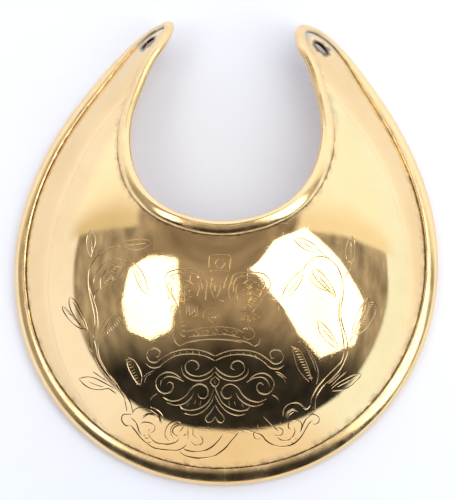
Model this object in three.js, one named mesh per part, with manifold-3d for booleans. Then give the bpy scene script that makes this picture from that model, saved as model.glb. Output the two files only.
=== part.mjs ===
// Crescent gorget: a domed breast plate with two horns that reach round the neck.
// One piece of gilt brass sheet. Its edge is turned over a wire to the front and dressed down to the
// face, which makes a solid bead all the way round, and each horn has a ribbon hole near its rounded end.
// Millimetres, +Z up. The plate lies on its back, front up, with the horns towards +Y.

import * as THREE from 'three';
import { mergeVertices } from 'three/addons/utils/BufferGeometryUtils.js';
import Module from 'manifold-3d';

// driving sizes, in millimetres
const sheetThickness = 0.8;
const rimBeadRadius = 2.0; // at the front of the outer rim
const neckBeadRadius = 1.6; // at the front of the neck
const faceDrop = 0.05; // face of the plate below the bead's centre line
const lipHeight = 0.2; // turned edge's lip above the face
const neckRadius = 27.26; // neck centre to the bead's centre line, at the front
const plateDepth = 67.35; // bead to bead across the breast, at the front, in plan
const neckRise = 24.2; // neck bead above the lower rim's bead, at the front
const ribbonHoleDiameter = 4.6;
const hornEndAngle = 140; // degrees round the neck from the front, to the ribbon hole
const hornEndLength = 8.0; // ribbon hole's centre to the bead's centre line round the horn's end

// The bead's section, in shares of its own radius and in degrees.
const lipReach = 1.92; // lip in from the bead's centre
const crestLean = 22; // where the bead's round starts, leaning in from the face's direction
const flankBulge = 0.033; // share of the flank's length

// Sections through the plate on rays from the neck's centre, a row for each angle from the front.
// neck, depth and rise are shares of neckRadius, plateDepth and neckRise. neckTurn and rimTurn are the
// degrees by which the face turns from the section's chord at the neck and at the outer rim.
const sections = [
  { angle: 0, neck: 1.0, depth: 1.0, rise: 1.0, neckTurn: 28.6, rimTurn: 29.1 },
  { angle: 20, neck: 1.013, depth: 0.9465, rise: 1.01, neckTurn: 27.4, rimTurn: 28.6 },
  { angle: 40, neck: 1.0445, depth: 0.786, rise: 0.9825, neckTurn: 27.6, rimTurn: 26.4 },
  { angle: 60, neck: 1.05, depth: 0.587, rise: 0.9045, neckTurn: 24.4, rimTurn: 22.7 },
  { angle: 80, neck: 1.037, depth: 0.407, rise: 0.809, neckTurn: 21.5, rimTurn: 18.7 },
  { angle: 100, neck: 1.048, depth: 0.2755, rise: 0.7345, neckTurn: 18.7, rimTurn: 13.2 },
  { angle: 120, neck: 1.089, depth: 0.2025, rise: 0.7055, neckTurn: 14.0, rimTurn: 5.1 },
  { angle: 140, neck: 1.2175, depth: 0.1575, rise: 0.702, neckTurn: 14.6, rimTurn: 5.2 },
  { angle: 160, neck: 1.329, depth: 0.1317, rise: 0.6325, neckTurn: 12.1, rimTurn: 4.8 },
];

// The bead's radius on the same rays, as shares of neckBeadRadius and rimBeadRadius.
const beads = [
  { angle: 0, neck: 1.0, rim: 1.0 },
  { angle: 20, neck: 1.0, rim: 1.0 },
  { angle: 40, neck: 1.0, rim: 1.0 },
  { angle: 60, neck: 1.0, rim: 1.0 },
  { angle: 80, neck: 0.97, rim: 1.0 },
  { angle: 100, neck: 0.94, rim: 0.96 },
  { angle: 120, neck: 0.94, rim: 0.8 },
  { angle: 140, neck: 0.905, rim: 0.475 },
  { angle: 160, neck: 0.875, rim: 0.4 },
];

// how finely the solid is faceted
const stationsAlongPlate = 52;
const stationsRoundHornEnd = 8;
const stepsAcrossHalfPlate = 4;
const stepsUpFlank = 3;
const stepsRoundBead = 9;
const ribbonHoleSides = 20;

const degrees = Math.PI / 180;

// A smooth curve through one column of a table, level at the front because the plate is symmetric.
function columnCurve(table, column) {
  const x = table.map((row) => row.angle);
  const y = table.map((row) => row[column]);
  const last = x.length - 1;
  const step = (i) => x[i + 1] - x[i];
  const rise = (i) => (y[i + 1] - y[i]) / step(i);
  // second derivatives of the cubic spline, by elimination and back substitution
  const upper = [0.5];
  const value = [(3 * rise(0)) / step(0)];
  for (let i = 1; i < last; i += 1) {
    const pivot = 2 * (step(i - 1) + step(i)) - step(i - 1) * upper[i - 1];
    upper.push(step(i) / pivot);
    value.push((6 * (rise(i) - rise(i - 1)) - step(i - 1) * value[i - 1]) / pivot);
  }
  const bend = new Array(last + 1).fill(0);
  for (let i = last - 1; i >= 0; i -= 1) {
    bend[i] = value[i] - upper[i] * bend[i + 1];
  }
  return (angle) => {
    const at = Math.abs(angle);
    let i = 0;
    while (i < last - 1 && at > x[i + 1]) i += 1;
    const h = step(i);
    const after = (at - x[i]) / h;
    const before = 1 - after;
    const line = before * y[i] + after * y[i + 1];
    const lift = (before ** 3 - before) * bend[i] + (after ** 3 - after) * bend[i + 1];
    return line + (lift * h * h) / 6;
  };
}

const curves = {
  neck: columnCurve(sections, 'neck'),
  depth: columnCurve(sections, 'depth'),
  rise: columnCurve(sections, 'rise'),
  neckTurn: columnCurve(sections, 'neckTurn'),
  rimTurn: columnCurve(sections, 'rimTurn'),
  neckBead: columnCurve(beads, 'neck'),
  rimBead: columnCurve(beads, 'rim'),
};

// The surface that holds the bead's centre line: the angle is round the neck from the front, and
// across runs from 0 at the neck to 1 at the outer rim, whose bead rests on the ground.
function beadSurface(angle, across) {
  const neckR = neckRadius * curves.neck(angle);
  const depth = plateDepth * curves.depth(angle);
  const drop = neckRise * curves.rise(angle);
  const neckTurn = curves.neckTurn(angle) * degrees;
  const rimTurn = curves.rimTurn(angle) * degrees;
  const chord = Math.hypot(depth, drop);
  const fall = Math.atan2(drop, depth);
  const pull = chord / Math.cos((neckTurn + rimTurn) / 4) ** 2;
  const s = across;
  const fromStart = s * (1 - s) ** 2 * pull;
  const fromEnd = s * s * (s - 1) * pull;
  const blend = s * s * (3 - 2 * s);
  const out = depth * blend + fromStart * Math.cos(neckTurn - fall) + fromEnd * Math.cos(rimTurn + fall);
  const down = drop * blend - fromStart * Math.sin(neckTurn - fall) + fromEnd * Math.sin(rimTurn + fall);
  const r = neckR + out;
  const turn = angle * degrees;
  const height = rimBeadRadius * curves.rimBead(angle) + drop - down;
  return new THREE.Vector3(r * Math.sin(turn), -r * Math.cos(turn), height);
}

// The bead's radius at a place on the plate's edge. It runs evenly from rim to neck round a horn's end.
function beadRadiusAt(angle, across) {
  const at = Math.min(Math.abs(angle), hornEndAngle);
  const neck = neckBeadRadius * curves.neckBead(at);
  const rim = rimBeadRadius * curves.rimBead(at);
  return neck + (rim - neck) * across;
}

// The face's direction there, towards the front of the plate.
function faceNormal(angle, across) {
  const small = 1e-3;
  const along = beadSurface(angle + small, across).sub(beadSurface(angle - small, across));
  const over = beadSurface(angle, across + small).sub(beadSurface(angle, across - small));
  return over.cross(along).normalize();
}

// The rounded end's length, in degrees round the neck.
function hornEndReach() {
  const middle = beadSurface(hornEndAngle, 0.5);
  return hornEndLength / Math.hypot(middle.x, middle.y) / degrees;
}

// Stations round the plate's edge. Each has its place on the spine, half way across the plate, and the
// step from the spine to the edge.
function edgeStations() {
  const reach = hornEndReach();
  const stations = [];
  for (let i = 0; i < stationsAlongPlate; i += 1) {
    const share = (2 * i) / stationsAlongPlate - 1;
    stations.push({ angle: hornEndAngle * share, stepAngle: 0, stepAcross: 0.5 });
  }
  for (let i = 0; i < stationsRoundHornEnd; i += 1) {
    const turn = (Math.PI * i) / stationsRoundHornEnd;
    const stepAngle = reach * Math.sin(turn);
    stations.push({ angle: hornEndAngle, stepAngle, stepAcross: 0.5 * Math.cos(turn) });
  }
  const farSide = stations.map(({ angle, stepAngle, stepAcross }) => (
    { angle: -angle, stepAngle: -stepAngle, stepAcross: -stepAcross }));
  return stations.concat(farSide);
}

// One turn round the section: across the face to the lip, up the bead's flank, round the bead and back
// across the back. A row has either the share of the way from the spine to where its part of the sheet
// ends, or its distances out and up from the bead's centre line.
function sectionOutline(radius) {
  const back = faceDrop + sheetThickness;
  const lip = { out: -lipReach * radius, up: lipHeight - faceDrop };
  const lean = Math.PI / 2 + crestLean * degrees;
  const crest = { out: radius * Math.cos(lean), up: radius * Math.sin(lean) };
  const foot = Math.asin(back / radius) - Math.PI;
  const flank = { out: crest.out - lip.out, up: crest.up - lip.up };
  const outline = [];
  for (let i = 0; i <= stepsAcrossHalfPlate; i += 1) {
    outline.push({ share: i / stepsAcrossHalfPlate, end: lip.out, up: -faceDrop });
  }
  for (let i = 0; i < stepsUpFlank; i += 1) {
    const share = i / stepsUpFlank;
    const bulge = 4 * flankBulge * share * (1 - share);
    const out = lip.out + share * flank.out - bulge * flank.up;
    outline.push({ out, up: lip.up + share * flank.up + bulge * flank.out });
  }
  for (let i = 0; i < stepsRoundBead; i += 1) {
    const turn = lean + ((foot - lean) * i) / stepsRoundBead;
    outline.push({ out: radius * Math.cos(turn), up: radius * Math.sin(turn) });
  }
  const footOut = radius * Math.cos(foot);
  for (let i = stepsAcrossHalfPlate; i >= 0; i -= 1) {
    outline.push({ share: i / stepsAcrossHalfPlate, end: footOut, up: -back });
  }
  return outline;
}

// The points of one station's outline, in space.
function outlinePoints(station, next, previous) {
  const place = ({ angle, stepAngle, stepAcross }, share) => (
    [angle + share * stepAngle, 0.5 + share * stepAcross]);
  const edge = beadSurface(...place(station, 1));
  const along = beadSurface(...place(next, 1)).sub(beadSurface(...place(previous, 1)));
  const outward = along.cross(faceNormal(...place(station, 1))).normalize();
  const halfLength = edge.distanceTo(beadSurface(...place(station, 0)));
  return sectionOutline(beadRadiusAt(...place(station, 1))).map(({ share, end, out, up }) => {
    if (share === undefined) {
      const normal = faceNormal(...place(station, 1));
      return edge.clone().addScaledVector(outward, out).addScaledVector(normal, up);
    }
    const at = place(station, share * (1 + end / halfLength));
    return beadSurface(...at).addScaledVector(faceNormal(...at), up);
  });
}

// A closed mesh swept round the plate's edge, with its spine zipped shut.
function plateMesh() {
  const stations = edgeStations();
  const count = stations.length;
  const rings = stations.map((station, i) => (
    outlinePoints(station, stations[(i + 1) % count], stations[(i + count - 1) % count])));
  const rows = rings[0].length;
  const positions = rings.flat().flatMap((point) => point.toArray());
  const indices = [];
  for (let i = 0; i < count; i += 1) {
    const here = i * rows;
    const there = ((i + 1) % count) * rows;
    for (let k = 0; k < rows - 1; k += 1) {
      indices.push(here + k, here + k + 1, there + k + 1);
      indices.push(here + k, there + k + 1, there + k);
    }
  }
  const geometry = new THREE.BufferGeometry();
  geometry.setAttribute('position', new THREE.Float32BufferAttribute(positions, 3));
  geometry.setIndex(indices);
  return geometry;
}

const wasm = await Module();
wasm.setup();

// A solid from a closed mesh, with shared corners merged and the slivers that this leaves dropped.
function solidFrom(geometry) {
  const bare = geometry.clone();
  bare.deleteAttribute('normal');
  bare.deleteAttribute('uv');
  const merged = mergeVertices(bare, 1e-4);
  const corners = merged.index.array;
  const triVerts = [];
  for (let i = 0; i < corners.length; i += 3) {
    const [a, b, c] = corners.slice(i, i + 3);
    if (a !== b && b !== c && c !== a) triVerts.push(a, b, c);
  }
  const vertProperties = new Float32Array(merged.attributes.position.array);
  const mesh = new wasm.Mesh({ numProp: 3, vertProperties, triVerts: new Uint32Array(triVerts) });
  return new wasm.Manifold(mesh);
}

function geometryFrom(solid) {
  const mesh = solid.getMesh();
  const geometry = new THREE.BufferGeometry();
  geometry.setAttribute('position', new THREE.BufferAttribute(mesh.vertProperties, 3));
  geometry.setIndex(new THREE.BufferAttribute(mesh.triVerts, 1));
  return geometry;
}

// A punch square to the face, through the middle of one horn's rounded end.
function ribbonHolePunch(side) {
  const angle = side * hornEndAngle;
  const radius = ribbonHoleDiameter / 2;
  const length = 4 * rimBeadRadius;
  const punch = new THREE.CylinderGeometry(radius, radius, length, ribbonHoleSides);
  const turn = new THREE.Quaternion();
  turn.setFromUnitVectors(new THREE.Vector3(0, 1, 0), faceNormal(angle, 0.5));
  punch.applyQuaternion(turn);
  punch.translate(...beadSurface(angle, 0.5).toArray());
  return solidFrom(punch);
}

function gorgetPlate() {
  const plate = solidFrom(plateMesh());
  const pierced = plate.subtract(ribbonHolePunch(1)).subtract(ribbonHolePunch(-1));
  const geometry = geometryFrom(pierced);
  // the origin is under the middle of the plate, on the surface that it lies on
  geometry.computeBoundingBox();
  const { min, max } = geometry.boundingBox;
  geometry.translate(-(min.x + max.x) / 2, -(min.y + max.y) / 2, -min.z);
  geometry.computeVertexNormals();
  return geometry;
}

const giltBrass = new THREE.MeshStandardMaterial({ color: 0xe2b35c, metalness: 1, roughness: 0.18 });
const plate = new THREE.Mesh(gorgetPlate(), giltBrass);
plate.name = 'gorget_plate';

const gorget = new THREE.Group();
gorget.add(plate);

export default gorget;
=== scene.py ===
# A crescent gorget of gilt brass, lying on its back on a white table.
# The object's own sizes are in millimetres and become metres when its mesh is made.

import math
import bpy
import numpy as np
from mathutils import Matrix, Vector
from mathutils.geometry import delaunay_2d_cdt


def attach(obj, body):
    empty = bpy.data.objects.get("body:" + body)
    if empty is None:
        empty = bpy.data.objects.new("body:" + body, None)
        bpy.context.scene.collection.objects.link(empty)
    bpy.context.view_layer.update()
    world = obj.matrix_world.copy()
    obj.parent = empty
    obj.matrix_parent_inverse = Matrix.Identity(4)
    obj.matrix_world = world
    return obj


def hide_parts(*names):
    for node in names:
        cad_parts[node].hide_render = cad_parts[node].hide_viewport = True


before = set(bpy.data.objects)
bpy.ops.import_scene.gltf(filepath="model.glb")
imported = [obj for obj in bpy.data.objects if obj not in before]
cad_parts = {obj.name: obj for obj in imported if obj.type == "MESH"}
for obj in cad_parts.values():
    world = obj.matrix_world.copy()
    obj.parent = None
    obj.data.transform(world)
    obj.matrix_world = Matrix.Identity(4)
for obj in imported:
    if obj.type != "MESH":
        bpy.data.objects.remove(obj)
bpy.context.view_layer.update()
millimetre = 0.001


shot = {
    "aim": (1.804, -1.592, 12.0),  # mm, where the picture's middle falls
    "distance": 700.0,
    "yaw": 5.6995,  # degrees, seen a little from the right
    "tilt": 12.0,  # and from below the rim
    "roll": 3.1793,
    "mmPerPixel": 0.2827,
    "longSide": 500,
    "sensor": 36.0,
}


def placeCamera():
    yaw, tilt, roll = (math.radians(shot[k]) for k in ("yaw", "tilt", "roll"))
    back = Vector((math.tan(yaw), -math.tan(tilt), 1.0)).normalized()
    up = (Vector((0, 1, 0)) - back * back.y).normalized()
    right = up.cross(back)
    rolledRight = right * math.cos(roll) + up * math.sin(roll)
    rolledUp = up * math.cos(roll) - right * math.sin(roll)
    spot = (Vector(shot["aim"]) + back * shot["distance"]) * millimetre
    data = bpy.data.cameras.new("photoView")
    data.sensor_fit = "AUTO"
    data.sensor_width = shot["sensor"]
    data.lens = shot["sensor"] * shot["distance"] / (shot["longSide"] * shot["mmPerPixel"])
    data.clip_start = 0.05
    data.clip_end = 20
    camera = bpy.data.objects.new("photoView", data)
    turn = Matrix((rolledRight, rolledUp, back)).transposed().to_4x4()
    camera.matrix_world = Matrix.Translation(spot) @ turn
    bpy.context.collection.objects.link(camera)
    bpy.context.scene.camera = camera


plate = {
    "sheet": 0.8,
    "rimBead": 2.0,  # radius of the turned edge at the front of the rim
    "neckBead": 1.6,
    "faceDrop": 0.05,  # face below the bead's middle
    "neckRadius": 27.26,
    "depth": 67.35,
    "rise": 24.2,
    "holeDiameter": 4.6,
    "holeEase": 0.14,  # the hole's worn edge
    "hornEndAngle": 140.0,
    "hornEndLength": 8.0,
    "stationsAlong": 330,
    "stationsRoundEnd": 40,
    "faceStep": 1.35,  # between the points of the face
    "backStep": 2.6,
    "seamFade": 0.8,  # how far the seam's tarnish and painted shade reach over the face
    "holeSides": 44,
}

# the turned edge's section: shares of its radius, millimetres and degrees
bead = {
    "ease": 0.96,  # keeps the uneven bead inside its nominal size
    "neckStretch": 1.62,  # how far the lip lies from the bead's middle
    "rimStretch": (1.8, 1.36),  # in front and at the sides
    "lean": (14, 9),  # degrees, where the round turns into the flank, in front and at the sides
    "lipHeight": 0.2,
    "seamGap": 0.06,  # lip above the face
    "seamGapWander": 0.4,
    "seamDepth": 0.45,
    "seamWander": 0.11,  # how far the lip's line strays along the face
    "seamMargin": 0.06,  # from the lip's line to the face's first points
    "lipTuck": 0.02, "lipTilt": 60,  # the lip's under edge
    "radiusWander": 0.018,
    "flankSteps": 14,
    "roundSteps": 24,
    # how much tarnish and painted crevice shade the rows get, from the face at the seam up the flank
    "tarnishAndShade": (1, 1, 1, 1, 0.85, 0.66, 0.6, 0.54, 0.48, 0.42, 0.35, 0.28, 0.2, 0.1),
    "hornsFrom": 80, "hornsFull": 115,  # degrees round the neck
    "hornWear": 1.2, "hornShine": 0.4,  # the horns are rubbed more, and get less tarnish and painted shade
}

# A row for each angle round the neck: shares of the neck's radius, the depth and the rise, how far the
# face turns at the neck and at the rim in degrees, and shares of the two bead radii.
sections = np.array([
    (0, 1.0, 1.0, 1.0, 28.6, 29.1, 1.0, 1.0),
    (20, 1.013, 0.9465, 1.01, 27.4, 28.6, 1.0, 1.0),
    (40, 1.0445, 0.786, 0.9825, 27.6, 26.4, 1.0, 1.0),
    (60, 1.05, 0.587, 0.9045, 24.4, 22.7, 1.0, 1.0),
    (80, 1.037, 0.407, 0.809, 21.5, 18.7, 0.97, 1.0),
    (100, 1.048, 0.2755, 0.7345, 18.7, 13.2, 0.94, 0.96),
    (120, 1.089, 0.2025, 0.7055, 14.0, 5.1, 0.94, 0.8),
    (140, 1.2175, 0.1575, 0.702, 14.6, 5.2, 0.905, 0.475),
    (160, 1.329, 0.1317, 0.6325, 12.1, 4.8, 0.875, 0.4),
])


def splineThrough(x, y):
    # level at the first row, straight at the last
    last = len(x) - 1
    step = np.diff(x)
    rise = np.diff(y) / step
    pull = np.zeros((last + 1, last + 1))
    push = np.zeros(last + 1)
    pull[0, :2] = 2 * step[0], step[0]
    push[0] = 6 * rise[0]
    for i in range(1, last):
        pull[i, i - 1:i + 2] = step[i - 1], 2 * (step[i - 1] + step[i]), step[i]
        push[i] = 6 * (rise[i] - rise[i - 1])
    pull[last, last] = 1
    bend = np.linalg.solve(pull, push)

    def at(place):
        i = np.clip(np.searchsorted(x, place, "right") - 1, 0, last - 1)
        after = (place - x[i]) / step[i]
        before = 1 - after
        lift = (before ** 3 - before) * bend[i] + (after ** 3 - after) * bend[i + 1]
        return before * y[i] + after * y[i + 1] + lift * step[i] ** 2 / 6
    return at


columns = [splineThrough(sections[:, 0], sections[:, i]) for i in range(1, 8)]


def beadSurface(angle, across):
    # the surface through the middle of the bead
    angle, across = np.broadcast_arrays(np.asarray(angle, float), np.asarray(across, float))
    neck, depthShare, riseShare, neckTurn, rimTurn, _, rimBead = (c(np.abs(angle)) for c in columns)
    depth, drop = plate["depth"] * depthShare, plate["rise"] * riseShare
    neckTurn, rimTurn = np.radians(neckTurn), np.radians(rimTurn)
    chord, fall = np.hypot(depth, drop), np.arctan2(drop, depth)
    pull = chord / np.cos((neckTurn + rimTurn) / 4) ** 2
    s = across
    fromNeck, fromRim = s * (1 - s) ** 2 * pull, s * s * (s - 1) * pull
    blend = s * s * (3 - 2 * s)
    out = depth * blend + fromNeck * np.cos(neckTurn - fall) + fromRim * np.cos(rimTurn + fall)
    down = drop * blend - fromNeck * np.sin(neckTurn - fall) + fromRim * np.sin(rimTurn + fall)
    r = plate["neckRadius"] * neck + out
    turn = np.radians(angle)
    height = plate["rimBead"] * rimBead + drop - down
    return np.stack([r * np.sin(turn), -r * np.cos(turn), height], -1)


def unit(v):
    return v / np.linalg.norm(v, axis=-1, keepdims=True)


def surfaceNormal(angle, across):
    small = 1e-3
    along = beadSurface(angle + small, across) - beadSurface(angle - small, across)
    over = beadSurface(angle, across + small) - beadSurface(angle, across - small)
    return unit(np.cross(over, along))


def beadRadius(angle, across):
    at = np.minimum(np.abs(angle), plate["hornEndAngle"])
    neck, rim = plate["neckBead"] * columns[5](at), plate["rimBead"] * columns[6](at)
    return neck + (rim - neck) * across


def faceAt(angle, across, up):
    return beadSurface(angle, across) + up * surfaceNormal(angle, across)


def solveOnSurface(want, measure, angle, across):
    # Newton's steps to the angle and across where measure gives the two numbers wanted
    small = 1e-3
    for _ in range(7):
        here = measure(angle, across)
        byAngle = (measure(angle + small, across) - here) / small
        byAcross = (measure(angle, across + small) - here) / small
        error = want - here
        det = byAngle[:, 0] * byAcross[:, 1] - byAngle[:, 1] * byAcross[:, 0]
        angle = angle + (error[:, 0] * byAcross[:, 1] - error[:, 1] * byAcross[:, 0]) / det
        across = across + (error[:, 1] * byAngle[:, 0] - error[:, 0] * byAngle[:, 1]) / det
    return angle, across


def underPlan(plan, up):
    # the surface's angle and across below points of the plan
    angle = np.degrees(np.arctan2(plan[:, 0], -plan[:, 1]))
    reach = np.hypot(plan[:, 0], plan[:, 1])
    neck = plate["neckRadius"] * columns[0](np.abs(angle))
    across = (reach - neck) / (plate["depth"] * columns[1](np.abs(angle)))
    return solveOnSurface(plan, lambda a, s: faceAt(a, s, up)[:, :2], angle, np.clip(across, 0, 1))


def edgeStations():
    # places round the plate's edge: the angle and across of each one's foot on the spine, and its reach
    middle = beadSurface(plate["hornEndAngle"], 0.5)
    reach = math.degrees(plate["hornEndLength"] / math.hypot(middle[0], middle[1]))
    along = plate["hornEndAngle"] * (2 * np.arange(plate["stationsAlong"]) / plate["stationsAlong"] - 1)
    turn = np.pi * np.arange(plate["stationsRoundEnd"]) / plate["stationsRoundEnd"]
    angle = np.concatenate([along, np.full(len(turn), plate["hornEndAngle"])])
    stepAngle = np.concatenate([np.zeros(len(along)), reach * np.sin(turn)])
    stepAcross = np.concatenate([np.full(len(along), 0.5), 0.5 * np.cos(turn)])
    return (np.concatenate([v, -v]) for v in (angle, stepAngle, stepAcross))


def smoothWander(count, seed, waves):
    # a closed row of gentle ups and downs, from -1 to 1
    rng = np.random.default_rng(seed)
    place = np.arange(count) / count * 2 * np.pi
    row = sum(rng.normal() / w ** 0.5 * np.sin(w * place + rng.uniform(0, 6.28)) for w in waves)
    return row / np.abs(row).max()


def turnedEdge():
    # rows round the plate's edge: the face at the seam, into the seam, over the lip, up the flank,
    # round the bead and back to the sheet's back
    angle, stepAngle, stepAcross = edgeStations()
    edgeAngle, edgeAcross = angle + stepAngle, 0.5 + stepAcross
    centre = beadSurface(edgeAngle, edgeAcross)
    along = np.roll(centre, -1, 0) - np.roll(centre, 1, 0)
    halfLength = np.linalg.norm(centre - beadSurface(angle, 0.5), axis=1)
    count = len(angle)
    radius = bead["ease"] * beadRadius(edgeAngle, edgeAcross)
    seamStray = bead["seamWander"] * smoothWander(count, 4, range(6, 60))
    gap = bead["seamGap"] * (1 + bead["seamGapWander"] * smoothWander(count, 8, range(12, 160)))
    rows, normals = [], []

    def onFace(inward, up, lean):
        # a row that follows the sheet, inward of the bead's middle
        reach = 1 - inward / halfLength
        place = angle + reach * stepAngle, 0.5 + reach * stepAcross
        normal = surfaceNormal(*place)
        outward = unit(np.cross(along, normal))
        rows.append(beadSurface(*place) + np.asarray(up)[..., None] * normal)
        lean = np.radians(lean)
        normals.append(np.cos(lean) * normal - np.sin(lean) * outward)

    inFront = np.cos(np.radians(angle)).clip(0, 1) ** 2
    front, side = bead["rimStretch"]
    rimStretch = side + (front - side) * inFront
    stretch = bead["neckStretch"] + (rimStretch - bead["neckStretch"]) * edgeAcross
    lip = stretch * radius / bead["ease"] + seamStray
    floor = np.full(count, -plate["faceDrop"])
    onFace(lip + bead["seamMargin"], floor, 0)
    onFace(lip - bead["seamDepth"], floor, 0)
    onFace(lip - bead["seamDepth"], floor + gap, 0)
    onFace(lip + bead["lipTuck"], floor + gap, bead["lipTilt"])
    sunk = bead["radiusWander"] * (0.5 + 0.5 * smoothWander(count, 12, range(5, 90)))
    tall = radius * (1 - sunk)
    front, side = bead["lean"]
    lean = np.radians(side + (front - side) * edgeAcross.clip(0, 1) * inFront)
    foot = bead["lipHeight"] - plate["faceDrop"]
    toe = np.arccos((lip * np.sin(lean) + foot * np.cos(lean)) / tall)
    drawn = (lip * np.cos(lean) - foot * np.sin(lean)) / tall / np.sin(toe)
    for i in range(bead["flankSteps"]):
        # a drawn-out arc from the lip to where the round starts
        turn = toe * (1 - i / bead["flankSteps"])
        inward = tall * (drawn * np.sin(turn) * np.cos(lean) + np.cos(turn) * np.sin(lean))
        up = tall * (np.cos(turn) * np.cos(lean) - drawn * np.sin(turn) * np.sin(lean))
        onFace(inward, up, np.degrees(lean + np.arctan(np.tan(turn) / drawn))[:, None])
    normal = surfaceNormal(edgeAngle, edgeAcross)
    outward = unit(np.cross(along, normal))
    back = plate["faceDrop"] + plate["sheet"]
    end = np.arcsin(back / radius) - np.pi
    for i in range(bead["roundSteps"] + 1):
        share = i / bead["roundSteps"]
        turn = (np.pi / 2 + lean + (end - np.pi / 2 - lean) * share)[:, None]
        way = np.cos(turn) * outward + np.sin(turn) * normal
        fade = max(0.0, math.cos(math.pi * share / 1.2))  # the underside is even
        rows.append(centre + (radius * (1 - sunk * fade))[:, None] * way)
        normals.append(way)
    # the last row is where the sheet's back starts
    reach = 1 - np.sqrt(radius ** 2 - back ** 2) / halfLength
    rows[-1] = faceAt(angle + reach * stepAngle, 0.5 + reach * stepAcross, -back)
    return np.stack(rows, 1), np.stack(normals, 1)


def holeLoop(side, radius, up):
    # a ring on the surface, round the middle of a horn's end
    sides = plate["holeSides"]
    centre = beadSurface(side * plate["hornEndAngle"], 0.5)
    normal = surfaceNormal(side * plate["hornEndAngle"], 0.5)
    east = unit(np.cross(normal, (0, 0, 1.0)))
    north = np.cross(normal, east)
    turn = np.arange(sides) / sides * 2 * np.pi
    want = radius * np.stack([np.cos(turn), np.sin(turn)], -1)

    def measure(angle, across):
        away = faceAt(angle, across, up) - centre
        return np.stack([away @ east, away @ north], -1)
    start = np.full(sides, side * plate["hornEndAngle"]), np.full(sides, 0.5)
    angle, across = solveOnSurface(want, measure, *start)
    return faceAt(angle, across, up), surfaceNormal(angle, across)


def insideLoop(points, loop):
    # even-odd rule, for each point
    inside = np.zeros(len(points), bool)
    x, y = points[:, 0], points[:, 1]
    for (ax, ay), (bx, by) in zip(loop, np.roll(loop, -1, 0)):
        if ay != by:
            crosses = (ay > y) != (by > y)
            inside ^= crosses & (x < (bx - ax) * (y - ay) / (by - ay) + ax)
    return inside


def awayFrom(points, others, distance):
    keep = np.ones(len(points), bool)
    for i in range(0, len(others), 400):
        gap = np.linalg.norm(points[:, None] - others[None, i:i + 400], axis=-1)
        keep &= gap.min(1) > distance
    return keep


def evenPoints(loop, step):
    # staggered rows of points that fill the loop's box
    low, high = loop.min(0), loop.max(0)
    rowStep = step * math.sqrt(0.75)
    rows = np.arange(low[1], high[1], rowStep)
    points = []
    for i, y in enumerate(rows):
        x = np.arange(low[0] + (i % 2) * step / 2, high[0], step)
        points.append(np.stack([x, np.full(len(x), y)], -1))
    points = np.concatenate(points)
    return points[insideLoop(points, loop)]


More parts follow.
